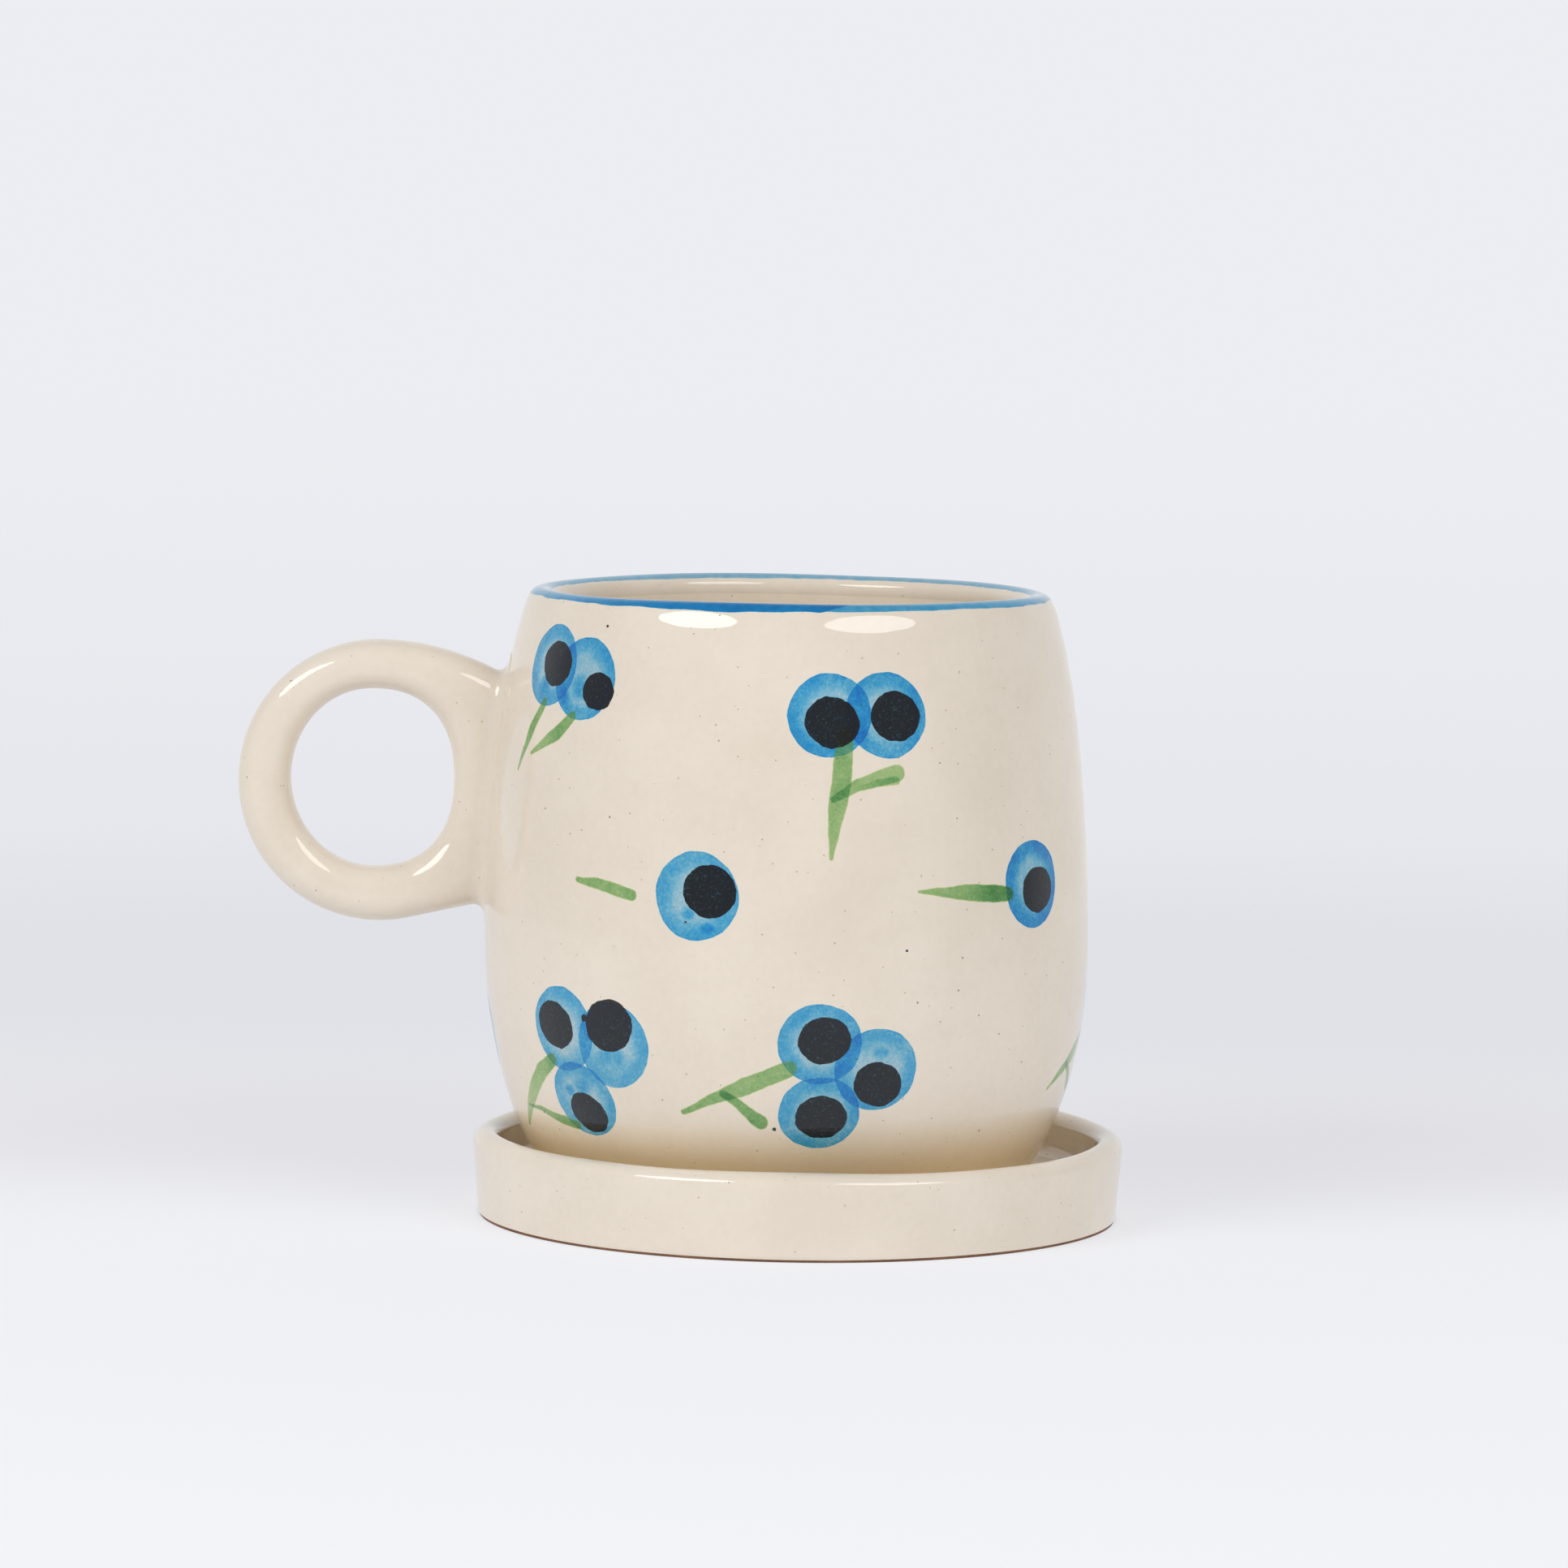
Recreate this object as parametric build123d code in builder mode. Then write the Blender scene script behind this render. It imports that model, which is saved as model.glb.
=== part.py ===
from build123d import *
import os
from math import cos, radians, sin

# A hand-thrown stoneware mug with a closed ring handle, standing in a shallow round saucer.
#
# Millimetres, +Z up. The origin is the centre of the saucer's foot, on the plane that it stands on.
# The handle points along -X and the painted front faces -Y.
# Sizes of the mug, its handle and its paint are measured from the mug's own axis and foot.
# Azimuths are degrees round the mug from its front, -Y, positive towards +X. The handle is at -90.

# ---- Driving dimensions: the mug ----
mug_height = 86.0
wall_thickness = 4.0
lip_centre_radius = 36.3     # from the mug's axis to the middle of the rounded lip
lip_lean = 17.0              # degrees that the wall leans in where it meets the lip
foot_radius = 35.0
foot_land = 4.5              # width of the flat ring that the mug stands on
foot_recess = 1.2
foot_round = 0.6
floor_height = 6.5           # top of the floor inside the mug
floor_flat_radius = 22.0     # where the floor starts to curve up into the wall

# ---- Driving dimensions: the saucer ----
saucer_top_radius = 47.5
saucer_foot_radius = 46.3
saucer_height = 12.6
saucer_wall = 4.0
saucer_floor = 5.4
saucer_corner = 2.5          # radius inside, between floor and wall
saucer_land = 5.0            # width of the flat ring that the saucer stands on
saucer_recess = 1.4
saucer_bevel = 0.4           # bare clay bevel round the foot
mug_shift = 2.1              # the mug stands this far off the saucer's centre, towards its handle

# ---- Driving dimensions: the handle ----
ring_centre = (-59.4, 57.2)  # from the mug's axis, and height
ring_radius = 20.5
ring_top_slope = 18.0        # degrees that the ring's top falls towards the wall
ring_foot_slope = 12.6       # degrees that its underside rises towards the wall
hole_centre = (-60.4, 57.6)
hole_half_width = 11.8
hole_half_height = 12.9
handle_depth = 8.6
handle_round = 3.4
handle_root = -38.0          # the ring is drawn to here, inside the wall, then cut back to the slip
root_top = 73.0              # heights where the ring meets the wall
root_foot = 39.3
slip_thickness = 0.9
slip_overhang = 1.2          # how far the slip shows round the handle's root

# ---- Driving dimensions: the painted layers ----
band_thickness = 0.25
band_outer_angle = 25.0      # degrees round the lip's section, from level outwards
band_inner_angle = 136.0
paint_thickness = 0.25
paint_gap = 0.02             # a hair's breadth between the paint and the wall under it
prism_start = 30.0           # a painted shape is cut by a prism that leaves the axis from here
prism_length = 18.0

# ---- The mug's outer wall, as (radius, height) from just above the foot to the lip ----
lip_round = wall_thickness / 2
lip_centre_height = mug_height - lip_round


def lip_point(angle, radius=lip_round):
    """Point on the lip's section at angle degrees up from level, outwards."""
    return (
        lip_centre_radius + radius * cos(radians(angle)),
        lip_centre_height + radius * sin(radians(angle)),
    )


outer_wall = [
    (foot_radius, foot_round),
    (38.9, 8.4),
    (41.9, 18.0),
    (43.8, 31.0),
    (43.9, 42.0),
    (42.8, 60.0),
    lip_point(lip_lean),
]
outer_tangents = [(0.5, 0.85), (-sin(radians(lip_lean)), cos(radians(lip_lean)))]
inner_wall = [
    (floor_flat_radius, floor_height),
    (35.6, 14.6),
    (39.6, 31.0),
    (39.9, 42.0),
    (38.8, 60.0),
    lip_point(180 + lip_lean),
]
inner_tangents = [(1, 0), outer_tangents[1]]

# ---- The painted sprigs ----
# A sprig has berries, each (azimuth, height, radius, crown azimuth, crown height, crown radius), and
# strokes, each a list of (azimuth, height, width). It is painted once at every (turn, lift).
sprigs = {
    "left_pair": {
        "turns": ((0, 0), (220, 0)),
        "berries": [(-56.6, 75.9, 5.8, -54.9, 76.2, 3.4), (-45.7, 74.5, 6, -41.2, 72.9, 2.85)],
        "strokes": [
            [(-57.1, 70.7, 1.3), (-60.5, 66.7, 1.6), (-64.9, 60.6, 0.9)],
            [(-47.6, 69, 1.6), (-51.5, 66.5, 2.2), (-59.8, 63.2, 1)],
        ],
    },
    "right_pair": {
        "turns": ((0, 0), (105, 0), (215, 0)),
        "berries": [(7.8, 70.8, 5.9, 8.2, 69.8, 3.7), (19, 70.8, 5.9, 20.9, 70.6, 3.6)],
        "strokes": [
            [(10.7, 68, 2.3), (9.1, 58, 2.6), (8, 50.9, 1)],
            [(8.5, 59.2, 1), (14, 61.3, 1.9), (20.6, 62.8, 2.5)],
        ],
    },
    "left_single": {
        "turns": ((0, 0), (138, 0)),
        "berries": [(-16.8, 45.3, 6.1, -14.3, 46, 3.8)],
        "strokes": [[(-42.4, 46.4, 0.9), (-36, 46, 1.6), (-29.8, 44.9, 1.6)]],
    },
    "right_single": {
        "turns": ((0, 0), (138, 0)),
        "berries": [(52.9, 46.1, 6.2, 54.5, 45.2, 3.5)],
        "strokes": [[(24.9, 46, 1), (37, 45.6, 2.45), (45.6, 45, 2)]],
    },
    "left_triple": {
        "turns": ((0, 0), (-53.3, -2), (-115, 0)),
        "berries": [
            (-47, 24.8, 6.1, -48.9, 25.3, 3.55),
            (-34.5, 23.3, 6.1, -35, 26.1, 3.9),
            (-43.6, 14.9, 5.6, -42.8, 13, 3.2),
        ],
        "strokes": [
            [(-51.2, 20, 2), (-60, 15.2, 2.4), (-68.4, 9.6, 1)],
            [(-64.5, 12.4, 1), (-55, 11.7, 1.2), (-46.8, 10.8, 1.4)],
        ],
    },
    "right_triple": {
        "turns": ((0, 0), (84.5, 1.5), (148, 0)),
        "berries": [
            (6.5, 24.9, 5.85, 7.4, 25.4, 3.6),
            (17.6, 21.1, 6, 18.1, 19, 3.4),
            (6.9, 14.9, 5.6, 7.3, 14.3, 3.45),
        ],
        "strokes": [
            [(0.7, 21.2, 2.4), (-7.2, 18.7, 2.6), (-20, 14.4, 1)],
            [(-11.8, 17.4, 1.3), (-8.8, 16.1, 1.4), (-4.4, 13.5, 2)],
        ],
    },
}

# ---- Placing planes and axes ----
mug_section = Plane(origin=(-mug_shift, 0, saucer_floor), x_dir=(1, 0, 0), z_dir=(0, -1, 0))
mug_axis = Axis((-mug_shift, 0, 0), (0, 0, 1))
handle_face = Plane(origin=(-mug_shift, 0, saucer_floor), x_dir=(0, -1, 0), z_dir=(-1, 0, 0))


def wall_plane(azimuth, height):
    """Plane inside the wall, facing out of it: its x runs round the mug and its y runs up."""
    out = Vector(sin(radians(azimuth)), -cos(radians(azimuth)), 0)
    around = Vector(cos(radians(azimuth)), sin(radians(azimuth)), 0)
    origin = Vector(-mug_shift, 0, saucer_floor + height) + out * prism_start
    return Plane(origin=origin, x_dir=around, z_dir=out)


def moved(items, turn, lift):
    """The same painted points, turned round the mug and lifted."""
    return [(item[0] + turn, item[1] + lift, *item[2:]) for item in items]


berries = [
    (azimuth + turn, height + lift, radius, crown_azimuth + turn, crown_height + lift, crown_radius)
    for sprig in sprigs.values()
    for turn, lift in sprig["turns"]
    for azimuth, height, radius, crown_azimuth, crown_height, crown_radius in sprig["berries"]
]
strokes = [
    moved(stroke, turn, lift)
    for sprig in sprigs.values()
    for turn, lift in sprig["turns"]
    for stroke in sprig["strokes"]
]

# ---- Saucer: an upright wall round a flat floor, on a wide bare foot ring ----
with BuildPart() as saucer:
    with BuildSketch(Plane.XZ):
        with BuildLine():
            lip_start = (saucer_top_radius, saucer_height - saucer_wall / 2)
            lip_end = (saucer_top_radius - saucer_wall, saucer_height - saucer_wall / 2)
            well_radius = saucer_top_radius - saucer_wall
            recess_radius = saucer_foot_radius - saucer_land
            Polyline(
                (0, saucer_recess),
                (recess_radius - saucer_recess, saucer_recess),
                (recess_radius, 0),
                (saucer_foot_radius, 0),
                (saucer_foot_radius + saucer_bevel, saucer_bevel),
                lip_start,
            )
            ThreePointArc(lip_start, (saucer_top_radius - saucer_wall / 2, saucer_height), lip_end)
            Line(lip_end, (well_radius, saucer_floor + saucer_corner))
            RadiusArc(
                (well_radius, saucer_floor + saucer_corner),
                (well_radius - saucer_corner, saucer_floor),
                saucer_corner,
            )
            Polyline(
                (well_radius - saucer_corner, saucer_floor),
                (0, saucer_floor),
                (0, saucer_recess),
            )
        make_face()
    revolve(axis=Axis.Z)
saucer.part.label = "saucer"

# ---- Blue band: a thin skin over the lip, sunk flush into it ----
with BuildPart() as rim_band:
    with BuildSketch(mug_section):
        with BuildLine():
            band_root = lip_round - band_thickness
            band_sweep = band_inner_angle - band_outer_angle
            lip_centre = (lip_centre_radius, lip_centre_height)
            CenterArc(lip_centre, lip_round, band_outer_angle, band_sweep)
            CenterArc(lip_centre, band_root, band_outer_angle, band_sweep)
            Line(lip_point(band_outer_angle), lip_point(band_outer_angle, band_root))
            Line(lip_point(band_inner_angle), lip_point(band_inner_angle, band_root))
        make_face()
    revolve(axis=mug_axis)
rim_band.part.label = "rim_band"

# ---- Mug body: thrown wall, floor and foot ring in one ----
with BuildPart() as mug_body:
    with BuildSketch(mug_section):
        with BuildLine():
            Polyline(
                (0, floor_height),
                (0, foot_recess),
                (foot_radius - foot_land - foot_recess, foot_recess),
                (foot_radius - foot_land, 0),
                (foot_radius - foot_round, 0),
                (foot_radius, foot_round),
            )
            Spline(*outer_wall, tangents=outer_tangents)
            ThreePointArc(outer_wall[-1], lip_point(90 + lip_lean), inner_wall[-1])
            Spline(*inner_wall, tangents=inner_tangents)
            Line((floor_flat_radius, floor_height), (0, floor_height))
        make_face()
    revolve(axis=mug_axis)
    add(rim_band.part, mode=Mode.SUBTRACT)
mug_body.part.label = "mug_body"


def wall_line(grow):
    """Points of the outer wall, moved out by grow."""
    return [(radius + grow, height) for radius, height in outer_wall]


# ---- Shells that follow the outer wall: the slip and the paint are cut from them ----
with BuildPart() as slip_core:
    with BuildSketch(mug_section):
        with BuildLine():
            Spline(*wall_line(slip_thickness), tangents=outer_tangents)
            top = wall_line(slip_thickness)[-1]
            foot = wall_line(slip_thickness)[0]
            Polyline(top, (0, top[1]), (0, foot[1]), foot)
        make_face()
    revolve(axis=mug_axis)

with BuildPart() as wall_core:
    with BuildSketch(mug_section):
        with BuildLine():
            Spline(*outer_wall, tangents=outer_tangents)
            top = outer_wall[-1]
            foot = outer_wall[0]
            Polyline(top, (0, top[1]), (0, foot[1]), foot)
        make_face()
    revolve(axis=mug_axis)

with BuildPart() as paint_shell:
    with BuildSketch(mug_section):
        with BuildLine():
            paint_back = wall_line(paint_gap)
            paint_front = wall_line(paint_gap + paint_thickness)
            Spline(*paint_back, tangents=outer_tangents)
            Spline(*paint_front, tangents=outer_tangents)
            Line(paint_back[0], paint_front[0])
            Line(paint_back[-1], paint_front[-1])
        make_face()
    revolve(axis=mug_axis)

# ---- Handle: a closed ring for one finger, its root cut back to the slip ----
with BuildPart() as handle:
    with BuildSketch(mug_section):
        with BuildLine():
            arc_start = 90 - ring_top_slope
            arc_sweep = 180 + ring_top_slope + ring_foot_slope
            ring = CenterArc(ring_centre, ring_radius, arc_start, arc_sweep)
            above = PolarLine(
                ring @ 0,
                handle_root - (ring @ 0).X,
                -ring_top_slope,
                length_mode=LengthMode.HORIZONTAL,
            )
            below = PolarLine(
                ring @ 1,
                handle_root - (ring @ 1).X,
                ring_foot_slope,
                length_mode=LengthMode.HORIZONTAL,
            )
            Line(above @ 1, below @ 1)
        make_face()
        with Locations(hole_centre):
            Ellipse(hole_half_width, hole_half_height, mode=Mode.SUBTRACT)
    extrude(amount=handle_depth / 2, both=True)
    flat_sides = handle.faces().filter_by(Axis.Y)
    root_line = handle_root - mug_shift
    fillet(
        flat_sides.edges().filter_by(lambda edge: edge.center().X < root_line - 1),
        radius=handle_round,
    )
    add(slip_core.part, mode=Mode.SUBTRACT)
handle.part.label = "handle"

# ---- Slip: a thin saddle of clay that joins the handle's root to the wall ----
with BuildPart() as handle_slip:
    with BuildSketch(handle_face.offset(-handle_root)):
        with Locations((0, (root_top + root_foot) / 2)):
            SlotOverall(
                root_top - root_foot + 2 * slip_overhang,
                handle_depth + 2 * slip_overhang,
                rotation=90,
            )
    extrude(amount=prism_length)
    add(slip_core.part, mode=Mode.INTERSECT)
    add(wall_core.part, mode=Mode.SUBTRACT)
handle_slip.part.label = "handle_slip"

# ---- Painted layers: prisms that cut the shapes out of the thin shell over the wall ----
with BuildPart() as berry_prisms:
    for azimuth, height, radius, _, _, _ in berries:
        with BuildSketch(wall_plane(azimuth, height)):
            Circle(radius)
        extrude(amount=prism_length)

with BuildPart() as crown_prisms:
    for _, _, _, azimuth, height, radius in berries:
        with BuildSketch(wall_plane(azimuth, height)):
            Circle(radius)
        extrude(amount=prism_length)

with BuildPart() as berry_paint:
    add(paint_shell.part)
    add(berry_prisms.part, mode=Mode.INTERSECT)
    add(crown_prisms.part, mode=Mode.SUBTRACT)
berry_paint.part.label = "berry_paint"

with BuildPart() as crown_paint:
    add(paint_shell.part)
    add(crown_prisms.part, mode=Mode.INTERSECT)
crown_paint.part.label = "crown_paint"

with BuildPart() as stem_paint:
    for stroke in strokes:
        for start, end in zip(stroke, stroke[1:]):
            middle = ((start[0] + end[0]) / 2, (start[1] + end[1]) / 2)
            with BuildSketch(wall_plane(*middle)):
                for azimuth, height, width in (start, end):
                    aside = foot_radius * radians(azimuth - middle[0])
                    with Locations((aside, height - middle[1])):
                        Circle(width / 2)
                make_hull()
            extrude(amount=prism_length)
    add(paint_shell.part, mode=Mode.INTERSECT)
    add(berry_prisms.part, mode=Mode.SUBTRACT)
    add(crown_prisms.part, mode=Mode.SUBTRACT)
stem_paint.part.label = "stem_paint"

# ---- One file for each piece ----
os.makedirs("parts", exist_ok=True)
for piece in (saucer, mug_body, rim_band, handle, handle_slip, berry_paint, crown_paint, stem_paint):
    export_step(piece.part, f"parts/{piece.part.label}.step")
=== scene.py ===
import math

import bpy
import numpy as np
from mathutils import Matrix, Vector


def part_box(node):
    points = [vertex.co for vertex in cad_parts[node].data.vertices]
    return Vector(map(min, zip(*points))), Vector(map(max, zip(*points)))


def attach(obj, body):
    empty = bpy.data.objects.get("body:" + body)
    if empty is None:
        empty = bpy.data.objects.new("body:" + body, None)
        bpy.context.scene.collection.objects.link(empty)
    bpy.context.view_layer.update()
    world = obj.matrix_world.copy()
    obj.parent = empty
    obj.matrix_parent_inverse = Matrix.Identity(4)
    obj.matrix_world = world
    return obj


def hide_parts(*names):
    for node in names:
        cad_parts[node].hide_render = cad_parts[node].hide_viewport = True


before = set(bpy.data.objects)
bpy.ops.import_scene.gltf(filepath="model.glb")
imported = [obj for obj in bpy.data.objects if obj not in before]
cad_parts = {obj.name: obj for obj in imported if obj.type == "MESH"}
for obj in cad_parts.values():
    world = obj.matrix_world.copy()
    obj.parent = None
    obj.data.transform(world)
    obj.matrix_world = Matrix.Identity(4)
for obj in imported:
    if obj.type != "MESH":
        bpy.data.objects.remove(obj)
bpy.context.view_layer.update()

# Looks of a hand-thrown, hand-painted stoneware mug that stands in a round saucer.
#
# Lengths here are millimetres unless they say metres. The mug, its handle and its paint are drawn
# in the mug's own frame: its axis is x = y = 0 and its foot is at height 0. The saucer is drawn the
# same way in its own frame. Azimuths are degrees from the front, -Y, positive towards +X.

MM = 0.001                   # metres in a millimetre


def foot_of(node):
    """The point, in metres, where a CAD node's own axis meets its lowest level."""
    low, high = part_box(node)
    return Vector(((low.x + high.x) / 2, (low.y + high.y) / 2, low.z))


MUG_FOOT = foot_of("mug_body")
SAUCER_FOOT = foot_of("saucer")
MUG_HEIGHT = (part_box("rim_band")[1].z - MUG_FOOT.z) / MM
SAUCER_HEIGHT = (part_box("saucer")[1].z - SAUCER_FOOT.z) / MM

# ---- The mug's section ----
LIP_CREST = 36.3             # from the axis to the lip's highest ring
LIP_OUTSIDE = 2.0            # radius of the lip's section outside its crest
LIP_INSIDE = 2.3             # the same inside, where it is softer
LIP_LEAN = 24.0              # degrees that the wall leans in where it meets the lip
INNER_LEAN = 17.0            # the same inside
FOOT_RADIUS = 35.0
FOOT_LAND = 4.5              # width of the ring that it stands on
FOOT_RECESS = 1.2            # how far the foot is hollowed inside that ring
FOOT_ROUND = 0.6             # radius of the foot's outer edge
FLOOR_HEIGHT = 6.5           # of the floor inside
FLOOR_FLAT = 22.0            # radius of the floor's flat middle
BULGE = 0.42                 # how far the hand-thrown wall stands out low on its right
BULGE_HEIGHT = 16.0          # where it stands out most
BULGE_REACH = 14.0           # how far above and below there it falls to about a third

# ---- The saucer's section ----
SAUCER_RADIUS = 47.5
SAUCER_WALL = 4.0            # thickness of its upright wall, which ends in a round lip
SAUCER_FLOOR = 5.4           # height of its floor inside
SAUCER_CORNER = 2.5          # radius between floor and wall
SAUCER_FOOT_RADIUS = 46.3
SAUCER_LAND = 5.0            # width of the ring that it stands on
SAUCER_RECESS = 1.4          # how far it is hollowed inside that ring
SAUCER_BEVEL = 0.4           # of bare clay round its foot

# ---- The handle ----
RING_CENTRE = (-59.4, 57.2)  # x and height of the round outline
RING_RADIUS = 20.49
RING_TOP_START = 2.0         # degrees past its top where the ring's outline turns into a wider arc
RING_TOP_RADIUS = 38.0       # of that arc, which falls towards the wall
RING_FOOT_SLOPE = 12.6       # degrees that the outline's straight underside rises towards the wall
HOLE_CENTRE = (-60.4, 57.6)
HOLE_HALF = (11.8, 12.9)     # half the finger hole's width and height
HOLE_POWER = 2.35            # the hole is squarer than an ellipse on the side towards the mug
RING_DEPTH = 8.6             # thickness of the ring from front to back
RING_CROWN = 6.0             # the section is rounded over its whole width, up to twice this
SECTION_POWER = 2.4          # between an ellipse, 2, and a rectangle
ROOT_BLEND = 2.2             # how far the handle's root flares into the wall
ROOT_SUNK = 1.2              # how deep the root goes into the wall
ROOT_CLEAR = 0.05            # the flare's edge dips this far under the wall's surface
ROOT_LIMIT = 2.8             # the flare reaches no further than this from the ring
NET_STEP = 0.45              # spacing of the grid on which the handle's surface is found
NET_MARGIN = 1.5             # room in the grid outside the ring
NET_ROOM = 4.5               # the same above and below it, where the root flares
NET_HALF_DEPTH = 9.5         # from the handle's middle to the grid's front and back
NET_END = -36.0              # the grid ends at this x, inside the mug's wall

# ---- The blue band on the lip ----
BAND_OUTSIDE = 0.72          # how far the blue comes down outside the lip, where it droops least
BAND_INSIDE = 0.75           # the same inside
BAND_DROOP = 0.6             # how much further it may come down outside
BAND_OVERLAP = (15.0, 95.0)  # its second coat thins out between these degrees from the brush's start

LATHE_SEGMENTS = 288         # facets round a turned piece


def lip_point(angle, radius):
    """Point on the lip's section at angle degrees up from level, outwards."""
    turn = math.radians(angle)
    return (LIP_CREST + radius * math.cos(turn), MUG_HEIGHT - radius + radius * math.sin(turn))


OUTER_WALL = [
    (FOOT_RADIUS, FOOT_ROUND),
    (38.9, 8.4),
    (41.9, 18.0),
    (43.8, 31.0),
    (43.9, 42.0),
    (42.8, 60.0),
    (39.5, 80.6),
    lip_point(LIP_LEAN, LIP_OUTSIDE),
]
INNER_WALL = [
    (FLOOR_FLAT, FLOOR_HEIGHT),
    (35.6, 14.6),
    (39.6, 31.0),
    (39.9, 42.0),
    (38.8, 60.0),
    lip_point(180 + INNER_LEAN, LIP_INSIDE),
]


def leaning(angle):
    """The direction of a wall that leans in by angle degrees."""
    return (-math.sin(math.radians(angle)), math.cos(math.radians(angle)))


# ---- Lines and lathes ----
def smooth_line(points, start, end, step):
    """Points about step apart on a smooth curve through points, from direction start to end."""
    points = np.array(points, float)
    spans = np.linalg.norm(np.diff(points, axis=0), axis=1)
    count = len(points)
    matrix = np.zeros((count, count))
    target = np.zeros((count, 2))
    matrix[0, 0] = matrix[-1, -1] = 1
    target[0] = np.array(start) / np.linalg.norm(start)
    target[-1] = np.array(end) / np.linalg.norm(end)
    for i in range(1, count - 1):
        before, after = spans[i - 1], spans[i]
        matrix[i, i - 1 : i + 2] = 1 / before, 2 / before + 2 / after, 1 / after
        target[i] = 3 * (points[i] - points[i - 1]) / before**2
        target[i] += 3 * (points[i + 1] - points[i]) / after**2
    slopes = np.linalg.solve(matrix, target)
    line = [points[0]]
    for i, span in enumerate(spans):
        steps = max(2, round(span / step))
        for t in np.arange(1, steps + 1) / steps:
            line.append(
                (2 * t**3 - 3 * t**2 + 1) * points[i]
                + (t**3 - 2 * t**2 + t) * span * slopes[i]
                + (3 * t**2 - 2 * t**3) * points[i + 1]
                + (t**3 - t**2) * span * slopes[i + 1]
            )
    return np.array(line)


def straight(start, end, step):
    """Points about step apart on a straight line."""
    steps = max(1, round(math.dist(start, end) / step))
    return np.linspace(start, end, steps + 1)


def arc(centre, radius, start, end, steps):
    """Points on a round stretch of a section, from start to end degrees."""
    turn = np.radians(np.linspace(start, end, steps + 1))
    return np.array(centre) + radius * np.stack([np.cos(turn), np.sin(turn)], axis=1)


def joined(*stretches):
    """One line from stretches that meet end to end, and where each stretch ends."""
    line = [stretches[0]]
    ends = [len(stretches[0]) - 1]
    for stretch in stretches[1:]:
        line.append(stretch[1:])
        ends.append(ends[-1] + len(stretch) - 1)
    return np.concatenate(line), ends


def lathe(name, line, foot, worn, zones, materials):
    """A closed mesh turned from a line that starts and ends on the axis.

    worn moves its points (radius, height, azimuth) off the true section. zones says at which points
    of the line each material ends.
    """
    segments = LATHE_SEGMENTS
    azimuth = np.linspace(0, 2 * math.pi, segments, endpoint=False)
    radius = np.repeat(line[1:-1, :1], segments, axis=1)
    height = np.repeat(line[1:-1, 1:], segments, axis=1)
    radius, height = worn(radius, height, np.broadcast_to(azimuth, radius.shape))
    ring = np.stack([radius * np.sin(azimuth), -radius * np.cos(azimuth), height], axis=-1)
    points = np.concatenate([ring.reshape(-1, 3), [[0, 0, line[0, 1]], [0, 0, line[-1, 1]]]])
    rows = len(line) - 2
    first_pole, last_pole = rows * segments, rows * segments + 1
    faces = []
    zone_of = []
    here = np.arange(segments)
    beside = (here + 1) % segments
    for row in range(-1, rows):
        zone = next(i for i, end in enumerate(zones) if row + 1 < end)
        low, high = row * segments, (row + 1) * segments
        if row < 0:
            made = [(first_pole, high + b, high + a) for a, b in zip(here, beside)]
        elif row == rows - 1:
            made = [(last_pole, low + a, low + b) for a, b in zip(here, beside)]
        else:
            made = [(low + a, low + b, high + b, high + a) for a, b in zip(here, beside)]
        faces += [tuple(int(v) for v in face) for face in made]
        zone_of += [zone] * segments
    return mesh_piece(name, points, faces, foot, materials, zone_of)


def mesh_piece(name, points, faces, foot, materials, zone_of=None):
    """A smooth mesh object from points in millimetres round foot."""
    mesh = bpy.data.meshes.new(name)
    placed = np.array(points) * MM + np.array(foot)
    mesh.from_pydata(placed.tolist(), [], faces)
    for material in materials:
        mesh.materials.append(material)
    if zone_of is not None:
        mesh.polygons.foreach_set("material_index", np.array(zone_of, np.int32))
    mesh.polygons.foreach_set("use_smooth", np.ones(len(mesh.polygons), bool))
    mesh.validate()
    mesh.update()
    piece = bpy.data.objects.new(name, mesh)
    bpy.context.scene.collection.objects.link(piece)
    return piece


# ---- The mug's wall, for what is stuck on it or painted on it ----
OUTER_LINE = smooth_line(OUTER_WALL, (0.5, 0.85), leaning(LIP_LEAN), 0.6)


def wall_radius(height):
    """The outer wall's radius at a height."""
    return np.interp(height, OUTER_LINE[:, 1], OUTER_LINE[:, 0])


def on_wall(azimuth, height):
    """The point of the outer wall at an azimuth in degrees and a height."""
    turn = math.radians(azimuth)
    radius = float(wall_radius(height))
    return (radius * math.sin(turn), -radius * math.cos(turn), height)


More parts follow.
